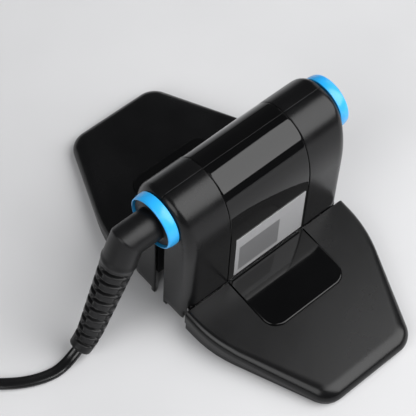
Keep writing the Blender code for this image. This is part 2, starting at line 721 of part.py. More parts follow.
def grip_spring():
    """A torsion spring round the shaft whose two arms push the grip halves apart."""
    mean, wire, turns, pitch = SHAFT_RADIUS + 1.6, 0.7, 5, 2.0
    points = [(-turns * pitch / 2, 18.6, AXIS_HEIGHT - 22.0), (-turns * pitch / 2, 12.6, AXIS_HEIGHT - 11.0)]
    steps = 14 * turns
    for i in range(steps + 1):
        t = 2 * math.pi * turns * i / steps - math.radians(10)
        x = pitch * turns * (i / steps - 0.5)
        points.append((x, mean * math.cos(t), AXIS_HEIGHT + mean * math.sin(t)))
    points[2:3] = []
    points += [(turns * pitch / 2, 4.0, AXIS_HEIGHT - 9.5), (turns * pitch / 2, -9.0, AXIS_HEIGHT - 13.0)]
    points += [(turns * pitch / 2, -18.6, AXIS_HEIGHT - 22.0)]
    return tube("grip_spring", points, [wire] * len(points), STEEL)


def rating_label():
    """A blank silver label low on the near cover."""
    y = GRIP_HALF_WIDTH + 0.1
    low = (-LABEL_LENGTH / 2 + 1, -y, LABEL_BOTTOM)
    high = (LABEL_LENGTH / 2 + 1, -y - LABEL_THICK, LABEL_BOTTOM + LABEL_HEIGHT)
    return block("rating_label", low, high, SILVER, OBJECTS)


def switch_knob(side):
    """The sliding power button in the far cover, with a stem that reaches through the wall."""
    face = side * GRIP_HALF_WIDTH
    low = (SWITCH_X - KNOB_LENGTH / 2, face - side * GRIP_WALL, SWITCH_HEIGHT - KNOB_WIDTH / 2)
    high = (SWITCH_X + KNOB_LENGTH / 2, face + side * KNOB_PROUD, SWITCH_HEIGHT + KNOB_WIDTH / 2)
    obj = block("switch_knob", low, high, SOFT, OBJECTS)
    for i in (-1, 0, 1):
        x = SWITCH_X + 2.2 * i
        groove = block(f"switch_knob_groove_{i + 1}", (x - 0.5, face + side * 1.1, 0), (x + 0.5, face + side * 3, 90))
        combine(obj, groove)
    return obj


def switch_body(side):
    """The slide switch that the knob works, behind the far wall."""
    inner = GRIP_HALF_WIDTH - GRIP_WALL - GAP
    low = (SWITCH_X - 10, side * inner, SWITCH_HEIGHT - 5)
    high = (SWITCH_X + 12, side * (inner - 6), SWITCH_HEIGHT + 5)
    return block("switch_body", low, high, SOFT, OBJECTS)


def indicator_lens(side):
    ends = [(SWITCH_X + LENS_X, side * (GRIP_HALF_WIDTH + d), SWITCH_HEIGHT) for d in (-3.6, 0.4)]
    return smooth(rod("indicator_lens", LENS_RADIUS, *ends, finish=AMBER, collection=OBJECTS))


def control_board(side):
    inner = SLOT_HALF + PLATE_THICK + 1.2
    return block("control_board", (-26, side * inner, 24), (30, side * (inner + 1.6), 36), BOARD, OBJECTS)


def terminal_block(side):
    inner = SLOT_HALF + PLATE_THICK + GAP
    return block("terminal_block", (-14, side * inner, 26), (14, side * (inner + 8), 35), CERAMIC, OBJECTS)


def elbow_route():
    """Centre line of the elbow: out of the hub, a tight bend, a straight fall, then a sweep towards the floor."""
    fall, end = math.radians(ELBOW_FALL_DEG), math.radians(ELBOW_END_DEG)
    points = [(-ELBOW_START, AXIS_HEIGHT), (-ELBOW_START - 3.5, AXIS_HEIGHT)]
    for i in range(9):
        t = fall * i / 8
        points.append((-ELBOW_BEND_X - ELBOW_BEND * math.sin(t), AXIS_HEIGHT - ELBOW_BEND * (1 - math.cos(t))))
    x, z = points[-1]
    for i in range(1, 8):
        d = ELBOW_STRAIGHT * i / 7
        points.append((x - d * math.cos(fall), z - d * math.sin(fall)))
    x, z = points[-1]
    for i in range(1, 5):
        a = fall + (end - fall) * i / 4
        dx = ELBOW_SWEEP * (math.sin(fall) - math.sin(a))
        dz = ELBOW_SWEEP * (math.cos(a) - math.cos(fall))
        points.append((x - dx, z - dz))
    return [(px, 0.0, pz) for px, pz in points]


def elbow():
    """The moulded elbow with its tapering strain relief."""
    points = elbow_route()
    runs = np.r_[0, np.cumsum([math.dist(a, b) for a, b in zip(points, points[1:])])]
    taper_start, taper_end = 27.0, float(runs[-1])
    share = np.clip((runs - taper_start) / (taper_end - taper_start), 0, 1)
    radii = ELBOW_RADIUS + (ELBOW_TIP - ELBOW_RADIUS) * share
    return tube("elbow_strain_relief", points, [float(r) for r in radii], SOFT, sides=4)


def cord():
    """The stretch of flat lead between the elbow and the coil."""
    route = smooth_route(CORD_ROUTE, 6.0)
    return tube("cord", route, [CORD_THICK / 2] * len(route), SOFT)


def cord_coil():
    """The outer shape of the wound lead."""
    profile = [(COIL_INNER, COIL_BOTTOM + 1.2), (COIL_INNER + 1.2, COIL_BOTTOM), (COIL_OUTER - 1.2, COIL_BOTTOM)]
    profile += [(COIL_OUTER, COIL_BOTTOM + 1.2), (COIL_OUTER, COIL_TOP - 1.2), (COIL_OUTER - 1.2, COIL_TOP)]
    profile += [(COIL_INNER + 1.2, COIL_TOP), (COIL_INNER, COIL_TOP - 1.2)]
    return smooth(turned("cord_coil", profile[::-1], (*COIL_CENTRE, 0), SOFT, upright=True))


def on_coil(radius, degrees, z):
    turn = math.radians(degrees)
    return (COIL_CENTRE[0] + radius * math.cos(turn), COIL_CENTRE[1] + radius * math.sin(turn), z)


def place_block(name, size, centre, turn_deg, finish, collection=OBJECTS):
    """A block of this size about a centre, turned about Z."""
    half = np.array(size) / 2
    obj = block(name, -half, half, finish, collection)
    turn = Matrix.Rotation(math.radians(turn_deg), 4, "Z")
    obj.data.transform(Matrix.Translation(Vector(centre) * MM) @ turn)
    return obj


def coil_tie():
    """A strap over the coil that holds its turns together."""
    low, high = COIL_BOTTOM + 0.2, COIL_TOP + GAP + TIE_THICK
    width = COIL_OUTER - COIL_INNER + 2 * (TIE_GAP + TIE_THICK)
    middle = on_coil((COIL_OUTER + COIL_INNER) / 2, TIE_ANGLE_DEG, (low + high) / 2)
    obj = place_block("coil_tie", (width, TIE_WIDTH, high - low), middle, TIE_ANGLE_DEG, SOFT)
    hollow = width - 2 * TIE_THICK
    inside = on_coil((COIL_OUTER + COIL_INNER) / 2, TIE_ANGLE_DEG, (low - 10 + high - TIE_THICK) / 2)
    size = (hollow, TIE_WIDTH + 8, high - TIE_THICK - low + 10)
    return combine(obj, place_block("coil_tie_hollow", size, inside, TIE_ANGLE_DEG, None, CUTTERS))


def plug():
    """A moulded two-blade plug lying on the coil's turns."""
    centre = Vector(on_coil(PLUG_PLACE[0], PLUG_PLACE[1], COIL_TOP + GAP + PLUG_SIZE[2] / 2))
    body = place_block("plug_body", PLUG_SIZE, centre, PLUG_TURN_DEG, SOFT)
    bevel = body.modifiers.new("round", "BEVEL")
    bevel.width = 3.0 * MM
    bevel.segments = 3
    bevel.limit_method = "ANGLE"
    along = Vector((math.cos(math.radians(PLUG_TURN_DEG)), math.sin(math.radians(PLUG_TURN_DEG)), 0))
    across = Vector((-along.y, along.x, 0))
    reach = (PLUG_SIZE[0] + BLADE_SIZE[0]) / 2 + GAP
    for number, sign in enumerate((-1, 1), 1):
        at = centre + along * reach + across * (sign * BLADE_SPACING / 2)
        place_block(f"plug_blade_{number}", BLADE_SIZE, at, PLUG_TURN_DEG, BRASS)


def build():
    clear_scene()
    for label, side in SIDES.items():
        grip_shell(label, side)
        band_cover(label, side)
        inner_plate(label, side)
        wing_shell(label, side)
        wing_panel(label, side)
        wing_skirt(label, side)
        soleplate(label, side)
        heater(label, side)
        insulation_pad(label, side)
        thermostat(label, side)
        thermal_fuse(label, side)
        for end, sign in ENDS.items():
            plate_screw(label, side, end, sign)
            hinge_pin(label, side, end, sign)
    rating_label()
    terminal_block(SIDES["near"])
    switch_knob(SIDES["far"])
    switch_body(SIDES["far"])
    indicator_lens(SIDES["far"])
    control_board(SIDES["far"])
    pivot_shaft()
    hub("cord_end", -1, SHAFT_BORE)
    hub("free_end", 1, 0)
    for end, sign in ENDS.items():
        ring(end, sign)
    grip_spring()
    elbow()
    cord()
    cord_coil()
    coil_tie()
    plug()


build()
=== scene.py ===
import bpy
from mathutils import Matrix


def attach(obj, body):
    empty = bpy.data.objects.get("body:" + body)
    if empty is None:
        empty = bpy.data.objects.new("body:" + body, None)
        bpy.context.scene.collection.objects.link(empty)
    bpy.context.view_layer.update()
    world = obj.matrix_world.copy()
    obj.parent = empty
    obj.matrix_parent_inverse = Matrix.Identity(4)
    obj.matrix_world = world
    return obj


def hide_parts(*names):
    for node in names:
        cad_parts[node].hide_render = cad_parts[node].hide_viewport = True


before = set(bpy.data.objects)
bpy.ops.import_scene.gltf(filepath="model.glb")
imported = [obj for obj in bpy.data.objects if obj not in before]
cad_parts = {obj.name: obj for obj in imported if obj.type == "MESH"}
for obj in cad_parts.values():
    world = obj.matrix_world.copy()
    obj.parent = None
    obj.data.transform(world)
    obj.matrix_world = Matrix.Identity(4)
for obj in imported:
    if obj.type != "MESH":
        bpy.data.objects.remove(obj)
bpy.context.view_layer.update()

import math

import bmesh
import bpy
import numpy as np
from mathutils import Euler, Matrix, Vector

MM = 0.001
SIDES = {"near": -1, "far": 1}
ENDS = {"cord_end": -1, "free_end": 1}

# Sizes in millimetres, the same as the frame's
END_X = 54.2
HALF_WIDTH = 23.5
TOP = 96.5
CROWN_START = 57.5
CROWN_POWER = 2.3
AXIS_HEIGHT = 79.5
SEAM = 17.0
FOLD_GAP = 0.3
BAND_HALF = 26.7
COVER_RECESS = 1.2
PARTING = 0.15
LEG_SLOT = 3.7
END_RADIUS = 6.5
SHELL_WALL = 1.1
COVER_WALL = 0.45
RECESS_HALF = BAND_HALF + FOLD_GAP
SWITCH_WINDOW = (-4.3, 8.3, 43.2, 48.8)  # low and high x, low and high z
END_WALL_INSIDE = 51.3
END_STEPS = ((11.1, 19.6), (3.7, 6.2))  # below each height, how far in y the end wall reaches
WING_ROOT = HALF_WIDTH + FOLD_GAP
WING_REACH = 107.4
WING_HALF = 56.5
WING_SIDE_START = 30.0
WING_SIDE_RADIUS = 70.0
WING_TAPER = 0.42
WING_CORNER = 13.0
WING_SLOPE = 0.084
SHELL_BOTTOM = 7.6
SHELL_TIP = 3.2
NOTCH_END = WING_ROOT + 7.8
NOTCH_TOP = 13.3
PANEL_REACH = 60.5
PANEL_CORNER = 9.0
PANEL_STRAIGHT = 38.0
PANEL_RIM = 0.7
PANEL_SLOPE = 0.05
PANEL_SEAT = 1.5
RING_BACK = 54.5
RING_FRONT = 60.7
RING_RADIUS = 15.4
RING_BORE = 13.9
HUB_BACK = 48.6
HUB_NECK = 9.0
HUB_RADIUS = 13.6
HUB_FLOOR = 53.5
SHAFT_BORE = 5.4
LEAD_BORE = 3.6
ELBOW_START = -60.0
ELBOW_RADIUS = 9.2
ELBOW_TIP = 6.2
ELBOW_STRAIGHT = 58.0
ELBOW_FALL = math.radians(68.0)
ELBOW_END = math.radians(40.0)
BEND_START = 8.8
BEND_RADIUS = 9.6
CORNER_SHARE = 0.85
SWEEP_RADIUS = 30.0
RELIEF_START = 27.0
RELIEF_LIP = 1.2
SLOTS_START = 30.0
SLOT_PITCH = 3.4
SLOT_ROWS = 17
SLOT_DEPTH = 2.5
SLOTS_FACE = math.radians(232.0)
CORD_WIDTH = 6.4
CORD_THICK = 3.4


# ---------------------------------------------------------------- camera, light and floor

CAMERA_LENS = 137.9
CAMERA_PLACE = (-0.3312, -0.3227, 0.7411)
CAMERA_TURN = (33.075, -1.927, -40.835)  # degrees about X, Y and Z


def set_camera():
    """A long lens over the cord end's near corner, looking down on the crown."""
    data = bpy.data.cameras.new("camera")
    data.lens = CAMERA_LENS
    data.sensor_width = 36.0
    data.clip_start, data.clip_end = 0.05, 20.0
    camera = bpy.data.objects.new("camera", data)
    turn = Euler([math.radians(angle) for angle in CAMERA_TURN])
    camera.matrix_world = Matrix.Translation(CAMERA_PLACE) @ turn.to_matrix().to_4x4()
    bpy.context.scene.collection.objects.link(camera)
    bpy.context.scene.camera = camera


def softbox(name, towards, distance, size, power, colour=(1.0, 1.0, 1.0)):
    """A rectangular light that faces the crown from a direction."""
    data = bpy.data.lights.new(name, "AREA")
    data.shape = "RECTANGLE"
    data.size, data.size_y = size
    data.energy = power
    data.color = colour
    light = bpy.data.objects.new(name, data)
    way = np.array(towards, float)
    way /= np.linalg.norm(way)
    light.matrix_world = Vector(way).to_track_quat("Z", "Y").to_matrix().to_4x4()
    light.matrix_world.translation = Vector(way * distance) + Vector((0.0, 0.0, 0.06))
    bpy.context.scene.collection.objects.link(light)
    return light


def light_studio():
    """A wide overhead softbox that the crown mirrors, and a weaker fill on either side."""
    scene = bpy.context.scene
    scene.view_settings.view_transform = "Standard"
    world = bpy.data.worlds.new("studio")
    world.use_nodes = True
    background = world.node_tree.nodes["Background"]
    background.inputs["Color"].default_value = (0.96, 0.98, 1.0, 1.0)
    background.inputs["Strength"].default_value = 0.10
    scene.world = world
    softbox("overhead_softbox", (0.46, -0.50, 0.73), 1.25, (1.25, 1.45), 25.0)
    softbox("left_fill", (-0.85, -0.15, 0.62), 1.5, (1.1, 1.1), 13.0)
    softbox("right_fill", (0.92, 0.35, 0.42), 1.6, (0.9, 0.9), 3.0)


# ---------------------------------------------------------------- materials

def new_material(name):
    """A new node material, with its nodes, its links and its Principled shader."""
    made = bpy.data.materials.new(name)
    made.use_nodes = True
    nodes, links = made.node_tree.nodes, made.node_tree.links
    return made, nodes, links, nodes["Principled BSDF"]


def object_points(nodes, links, stretch=(1.0, 1.0, 1.0)):
    """Object coordinates through a Mapping node that stretches the pattern."""
    place = nodes.new("ShaderNodeTexCoord")
    mapping = nodes.new("ShaderNodeMapping")
    mapping.inputs["Scale"].default_value = stretch
    links.new(place.outputs["Object"], mapping.inputs["Vector"])
    return mapping.outputs["Vector"]


def noise(nodes, links, points, scale, detail=3.0, roughness=0.55):
    """A noise pattern over these points, as one value."""
    made = nodes.new("ShaderNodeTexNoise")
    made.inputs["Scale"].default_value = scale
    made.inputs["Detail"].default_value = detail
    made.inputs["Roughness"].default_value = roughness
    links.new(points, made.inputs["Vector"])
    return made.outputs["Fac"]


def spread(nodes, links, value, low, high, start=0.3, end=0.7):
    """Maps a pattern's start to end onto low to high."""
    made = nodes.new("ShaderNodeMapRange")
    made.inputs["From Min"].default_value = start
    made.inputs["From Max"].default_value = end
    made.inputs["To Min"].default_value = low
    made.inputs["To Max"].default_value = high
    links.new(value, made.inputs["Value"])
    return made.outputs["Result"]


def two_tone(nodes, links, value, first, second, start=0.35, end=0.65):
    """A colour that runs from first to second as a pattern runs from start to end."""
    ramp = nodes.new("ShaderNodeValToRGB")
    ramp.color_ramp.elements[0].position = start
    ramp.color_ramp.elements[1].position = end
    ramp.color_ramp.elements[0].color = (*first, 1.0)
    ramp.color_ramp.elements[1].color = (*second, 1.0)
    links.new(value, ramp.inputs["Fac"])
    return ramp.outputs["Color"]


def bumps(nodes, links, height, shader, distance, strength=1.0):
    """Feeds a height pattern, in the object's own metres, to the shader's normal."""
    made = nodes.new("ShaderNodeBump")
    made.inputs["Distance"].default_value = distance
    made.inputs["Strength"].default_value = strength
    links.new(height, made.inputs["Height"])
    links.new(made.outputs["Normal"], shader.inputs["Normal"])


def plastic(name, dark, light, rough, grain_scale, grain_depth, coat=0.0, coat_rough=0.05, sheen=0.5):
    """Moulded plastic: two close tones and two close finishes in the same soft patches, and a fine grain."""
    made, nodes, links, shader = new_material(name)
    points = object_points(nodes, links)
    patches = noise(nodes, links, points, 35.0, 4.0)
    grain = noise(nodes, links, points, grain_scale, 2.0, 0.6)
    links.new(two_tone(nodes, links, patches, dark, light), shader.inputs["Base Color"])
    links.new(spread(nodes, links, patches, *rough), shader.inputs["Roughness"])
    if grain_depth:
        bumps(nodes, links, grain, shader, grain_depth)
    shader.inputs["Specular IOR Level"].default_value = sheen
    if coat:
        shader.inputs["Coat Weight"].default_value = coat
        shader.inputs["Coat Roughness"].default_value = coat_rough
    return made


def metal(name, dark, light, rough, stretch, scale, depth):
    """Metal with a drawn or ground grain: a noise stretched along the working direction."""
    made, nodes, links, shader = new_material(name)
    grain = noise(nodes, links, object_points(nodes, links, stretch), scale, 4.0, 0.65)
    links.new(two_tone(nodes, links, grain, dark, light), shader.inputs["Base Color"])
    links.new(spread(nodes, links, grain, *rough), shader.inputs["Roughness"])
    shader.inputs["Metallic"].default_value = 1.0
    bumps(nodes, links, grain, shader, depth)
    return made


def make_materials():
    """Every look: its darker and lighter tone, its range of roughness, and its grain's scale and depth."""
    m = {}
    m["satin"] = plastic("satin_black_moulding", (0.0030, 0.0030, 0.0033), (0.0048, 0.0048, 0.0052),
                         (0.23, 0.28), 2600, 0.000008, sheen=0.3)
    m["piano"] = plastic("piano_black_cover", (0.0012, 0.0012, 0.0014), (0.0018, 0.0018, 0.0020),
                         (0.04, 0.07), 900, 0.0, sheen=0.35)
    m["azure"] = plastic("azure_moulding", (0.018, 0.40, 0.90), (0.026, 0.45, 0.95),
                         (0.30, 0.40), 2200, 0.00001, coat=0.25, coat_rough=0.12)
    m["soft"] = plastic("soft_black_rubber", (0.0045, 0.0045, 0.0050), (0.0075, 0.0075, 0.0080),
                        (0.32, 0.44), 3200, 0.00003, sheen=0.3)
    m["sheath"] = plastic("lead_sheath", (0.0030, 0.0030, 0.0034), (0.0055, 0.0055, 0.0060),
                          (0.20, 0.30), 1800, 0.00001)
    m["steel"] = metal("turned_steel", (0.42, 0.42, 0.43), (0.62, 0.62, 0.64),
                       (0.22, 0.38), (1.0, 6.0, 6.0), 900, 0.00001)
    m["sole"] = metal("ground_soleplate", (0.62, 0.63, 0.64), (0.78, 0.79, 0.80),
                      (0.18, 0.30), (9.0, 1.0, 9.0), 420, 0.00001)
    m["brass"] = metal("rolled_brass", (0.58, 0.42, 0.18), (0.75, 0.58, 0.30),
                       (0.22, 0.36), (1.0, 5.0, 5.0), 700, 0.00001)
    m["mica"] = plastic("mica_sheet", (0.36, 0.28, 0.18), (0.58, 0.48, 0.34), (0.35, 0.6), 900, 0.00003)
    m["felt"] = plastic("ceramic_felt", (0.70, 0.68, 0.63), (0.86, 0.84, 0.80),
                        (0.85, 0.95), 1500, 0.0001)
    m["ceramic"] = plastic("glazed_ceramic", (0.74, 0.72, 0.67), (0.84, 0.83, 0.79),
                           (0.2, 0.35), 900, 0.00001)
    m["board"] = plastic("circuit_board", (0.02, 0.13, 0.06), (0.04, 0.22, 0.11), (0.3, 0.45), 800, 0.00002)
    m["amber"] = plastic("amber_lens", (0.75, 0.26, 0.02), (0.9, 0.36, 0.04), (0.08, 0.14), 900, 0.0,
                         coat=0.5)
    m["foil"] = label_foil()
    return m


def label_foil():
    """Silver foil with a drawn grain and one plain darker printed field."""
    made, nodes, links, shader = new_material("silver_label_foil")
    grain = noise(nodes, links, object_points(nodes, links, (1.0, 1.0, 14.0)), 500, 3.0)
    silver = two_tone(nodes, links, grain, (0.42, 0.42, 0.43), (0.54, 0.54, 0.55))
    place = nodes.new("ShaderNodeTexCoord")
    parts = nodes.new("ShaderNodeSeparateXYZ")
    links.new(place.outputs["Object"], parts.inputs["Vector"])
    inside = None
    edges = (("X", -0.0205), ("X", 0.0075), ("Z", 0.0235), ("Z", 0.0455))
    for (axis, at), less in zip(edges, (False, True, False, True)):
        test = nodes.new("ShaderNodeMath")
        test.operation = "LESS_THAN" if less else "GREATER_THAN"
        test.inputs[1].default_value = at
        links.new(parts.outputs[axis], test.inputs[0])
        if inside is None:
            inside = test.outputs[0]
            continue
        both = nodes.new("ShaderNodeMath")
        both.operation = "MULTIPLY"
        links.new(inside, both.inputs[0])
        links.new(test.outputs[0], both.inputs[1])
        inside = both.outputs[0]
    mix = nodes.new("ShaderNodeMix")
    mix.data_type = "RGBA"
    links.new(inside, mix.inputs["Factor"])
    links.new(silver, mix.inputs["A"])
    mix.inputs["B"].default_value = (0.22, 0.22, 0.225, 1.0)
    links.new(mix.outputs["Result"], shader.inputs["Base Color"])
    links.new(spread(nodes, links, grain, 0.3, 0.42), shader.inputs["Roughness"])
    shader.inputs["Metallic"].default_value = 0.25
    return made


# ---------------------------------------------------------------- meshes from arrays

def put(name, points, faces, material, body, nodes=()):
    """Makes one piece from points in millimetres and its faces, and lets it ride on a body."""
    mesh = bpy.data.meshes.new(name)
    mesh.from_pydata((np.asarray(points, float) * MM).tolist(), [], faces)
    mesh.update()
    mesh.materials.append(material)
    mesh.shade_smooth()
    piece = bpy.data.objects.new(name, mesh)
    bpy.context.scene.collection.objects.link(piece)
    if nodes:
        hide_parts(*nodes)
    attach(piece, body)
    return piece


def outward(piece):
    """Turns a closed piece's faces outwards, after its doubles are merged."""
    bm = bmesh.new()
    bm.from_mesh(piece.data)
    bmesh.ops.remove_doubles(bm, verts=bm.verts, dist=0.000002)
    bmesh.ops.recalc_face_normals(bm, faces=bm.faces)
    bm.to_mesh(piece.data)
    bm.free()
    return piece


def even_shading(piece):
    """Lets a piece's large faces set the shading at their edges, so that flats stay flat."""
    piece.modifiers.new("even_shading", "WEIGHTED_NORMAL").keep_sharp = True
    return piece


def wall(piece, thickness):
    """Gives an open skin its wall, inwards."""
    solid = piece.modifiers.new("wall", "SOLIDIFY")
    solid.thickness = thickness * MM
    solid.offset = -1.0
    solid.use_even_offset = False
    return piece


def grid_faces(rows, columns, wrap_rows=False, wrap_columns=False, keep=None):
    """Quads over a grid of rows by columns points, leaving out those that keep marks False."""
    down = np.arange(rows if wrap_rows else rows - 1)
    along = np.arange(columns if wrap_columns else columns - 1)
    i, j = np.meshgrid(down, along, indexing="ij")
    if keep is not None:
        i, j = i[keep], j[keep]
    i, j = i.ravel(), j.ravel()
    a, b = (i + 1) % rows, (j + 1) % columns
    return np.stack([i * columns + j, a * columns + j, a * columns + b, i * columns + b], axis=1).tolist()


def tube_faces(rows, columns):
    """Quads round a tube of rings, with one face over each end."""
    faces = grid_faces(rows, columns, wrap_columns=True)
    faces.append(list(range(columns))[::-1])
    faces.append([(rows - 1) * columns + i for i in range(columns)])
    return faces


def facing(faces, side):
    """Turns the faces of a skin round where it is mirrored to the far side."""
    return [face[::-1] for face in faces] if side > 0 else faces


def lengths(points):
    """How far each point is along its line."""
    return np.r_[0, np.cumsum(np.linalg.norm(np.diff(points, axis=0), axis=1))]


def unit(ways):
    """Each row's direction, with length 1."""
    return ways / np.linalg.norm(ways, axis=1, keepdims=True)


def quarter(radius, steps):
    """A quarter round as (run along the surface, depth under it), from the surface's edge inwards."""
    t = np.linspace(0, math.pi / 2, steps + 1)
    return radius * (1 - np.sin(t)), radius * (1 - np.cos(t))


def revolve(name, profile, material, body, nodes=(), turns=96):
    """A closed profile of (place along X, radius) turned about the pivot's axis: y and z are its radius times
    cos and sin."""
    profile = np.array(profile, float)
    t = np.linspace(0, 2 * math.pi, turns, endpoint=False)
    x = np.repeat(profile[:, :1], turns, axis=1)
    y = profile[:, 1:] * np.cos(t)
    z = AXIS_HEIGHT + profile[:, 1:] * np.sin(t)
    points = np.stack([x, y, z], axis=-1).reshape(-1, 3)
    piece = put(name, points, grid_faces(len(profile), turns, True, True), material, body, nodes)
    return even_shading(outward(piece))


def rounded_profile(corners, steps=4):
    """Rounds a closed profile's corners: each is (x, r, radius), and its arc is a quadratic curve between the
    points one radius along both of its edges."""
    corners = np.array(corners, float)
    t = np.linspace(0, 1, steps + 1)[:, None]
    out = []
    for before, (x, r, radius), after in zip(np.roll(corners, 1, 0), corners, np.roll(corners, -1, 0)):
        at = np.array([x, r])
        if radius <= 0:
            out.append(at[None])
            continue
        first = before[:2] - at
        last = after[:2] - at
        first = at + first / np.linalg.norm(first) * radius
        last = at + last / np.linalg.norm(last) * radius
        out.append((1 - t) ** 2 * first + 2 * t * (1 - t) * at + t**2 * last)
    return np.concatenate(out)


# ---------------------------------------------------------------- grip

def crown_section(steps=44):
    """The grip's outer line from the parting to the seam, with its outward normals, in (y, z).

    The crown is a superellipse: y = a cos(t)^(2/n), z = start + b sin(t)^(2/n). Its normal is the slope of
    (y/a)^n + (z/b)^n. Below it a straight wall goes down to the seam.
    """
    a, b, n = HALF_WIDTH - PARTING, TOP - CROWN_START, CROWN_POWER
    t = np.linspace(math.pi / 2, 0, steps + 1)
    c, s = np.clip(np.cos(t), 0, 1), np.sin(t)
    y, z = PARTING + a * c ** (2 / n), CROWN_START + b * s ** (2 / n)
    ny, nz = c ** (2 * (n - 1) / n) / a, s ** (2 * (n - 1) / n) / b
    size = np.hypot(ny, nz)
    return np.stack([y, z], 1), np.stack([ny / size, nz / size], 1)


def with_rows(line, normal, heights):
    """Adds rows down the straight wall at these heights."""
    wall_rows = np.array([[HALF_WIDTH, h] for h in heights])
    return np.vstack([line, wall_rows]), np.vstack([normal, np.tile([1.0, 0.0], (len(heights), 1))])


def parting_depth(line, radius):
    """How far each row is set under the surface so that the edge at the parting is a quarter round."""
    run = lengths(line)
    near = np.clip(radius - run, 0, radius)
    return radius - np.sqrt(np.maximum(radius**2 - near**2, 0))


def edge_rows(line, normal, radius):
    """Adds four close rows at the parting, so that its quarter round has points to follow."""
    extra = np.array([0.08, 0.25, 0.55, 1.0]) * radius
    rows = np.stack([line[0, 0] + extra, np.full(4, line[0, 1])], 1)
    ways = np.tile(normal[0], (4, 1))
    return np.vstack([line[:1], rows, line[1:]]), np.vstack([normal[:1], ways, normal[1:]])



def low_rows(*foot):
    """Heights of the rows down the straight wall: round the switch's window, and then these to the foot."""
    low, high = SWITCH_WINDOW[2:]
    return [54, high, 46, low, 36, 28, 20, *foot]


def grip_skin(label, side):
    """One satin half of the grip as a single skin: grooved for its cover, rounded at its ends, stepped below.

    Columns run along X and carry a depth under the surface: the cover's recess, a small round at its edge,
    the straight wall and a quarter round of the end radius. Further columns cross the flat end wall in
    straight lines from that round to the slot. Rows run from the parting over the crown and down. Squares
    below the steps are left out, and the skin gets its wall afterwards.
    """
    heights = low_rows(SEAM + FOLD_GAP, 14, 11.2, 7.5, 3.8, 2, 0.6)
    line, normal = with_rows(*edge_rows(*crown_section(), 0.18), heights)
    rows = len(line)
    high = np.clip((line[:, 1] - 70) / (TOP - 70), 0, 1)
    end_radius = END_RADIUS - 2.4 * high**2 * (3 - 2 * high)
    parting = parting_depth(line, 0.18)

    edge = RECESS_HALF + np.array([0.0, 0.0, 0.0, 0.1, 0.35, 0.8])
    recess = np.r_[0.0, SWITCH_WINDOW[1], 18.0, edge]
    recess_depth = np.array([COVER_RECESS] * 4 + [0.9, 0.35, 0.1, 0.0, 0.0])
    straight = np.array([32.0, 38.0, 43.0, 46.5])
    angle = np.radians([0, 12, 23.5, 34.7, 46, 57, 68, 79, 90])
    columns = len(recess) + len(straight) + len(angle)
    x = np.zeros((rows, columns))
    depth = np.zeros((rows, columns))
    x[:, : len(recess)], depth[:, : len(recess)] = recess, recess_depth
    x[:, len(recess) : len(recess) + len(straight)] = straight
    turn = slice(len(recess) + len(straight), columns)
    x[:, turn] = END_X - end_radius[:, None] * (1 - np.sin(angle))
    depth[:, turn] = end_radius[:, None] * (1 - np.cos(angle))
    depth = depth + parting[:, None]
    y = line[:, :1] - normal[:, :1] * depth
    z = line[:, 1:] - normal[:, 1:] * depth
    y = np.maximum(y, PARTING)

    inner = np.where(line[:, 1] < AXIS_HEIGHT - 2, LEG_SLOT, PARTING)[:, None]
    across = np.array([15.0, 13.5, 10.0, 6.1, 4.6, LEG_SLOT])
    share = (across - LEG_SLOT) / (HALF_WIDTH - END_RADIUS - LEG_SLOT)
    face_y = inner + share * (y[:, -1:] - inner)
    face_x = np.full_like(face_y, END_X)
    face_z = np.repeat(z[:, -1:], len(share), axis=1)
    x, y, z = np.hstack([x, face_x]), np.hstack([y, face_y]), np.hstack([z, face_z])
    columns = x.shape[1]

    below = line[:, 1][:-1, None] <= SEAM + FOLD_GAP + 0.01
    place = np.minimum(x[-1, :-1], x[-1, 1:])[None]
    outer = np.maximum(y[-1, :-1], y[-1, 1:])[None]
    height = line[:, 1][1:, None]
    keep = ~(below & (place < END_WALL_INSIDE))
    for top, reach in END_STEPS:
        keep &= ~(below & (height < top) & (outer > reach))

    points = np.stack([x, y * side, z], axis=-1)
    mirrored = points.copy()
    mirrored[..., 0] *= -1
    whole = np.concatenate([mirrored[:, :0:-1], points], axis=1)
    keep = np.concatenate([keep[:, ::-1], keep], axis=1)
    if label == "far":
        keep &= ~window_squares(whole, SWITCH_WINDOW)
    faces = facing(grid_faces(rows, whole.shape[1], keep=keep), side)
    piece = put(f"{label}_grip", whole.reshape(-1, 3), faces, LOOKS["satin"], f"{label}_grip",
                [f"{label}_grip_shell"])
    tidy_loose(piece)
    wall(piece, SHELL_WALL)
    return even_shading(piece)


def window_squares(points, window):
    """Which squares of a grid lie inside the switch's window."""
    x = (points[:-1, :-1, 0] + points[1:, 1:, 0]) / 2
    z = (points[:-1, :-1, 2] + points[1:, 1:, 2]) / 2
    low_x, high_x, low_z, high_z = window
    return (x > low_x) & (x < high_x) & (z > low_z) & (z < high_z)


def tidy_loose(piece):
    """Merges doubles and drops points that no face uses."""
    bm = bmesh.new()
    bm.from_mesh(piece.data)
    bmesh.ops.remove_doubles(bm, verts=bm.verts, dist=0.000003)
    bmesh.ops.delete(bm, geom=[v for v in bm.verts if not v.link_faces], context="VERTS")
    bm.to_mesh(piece.data)
    bm.free()
    return piece


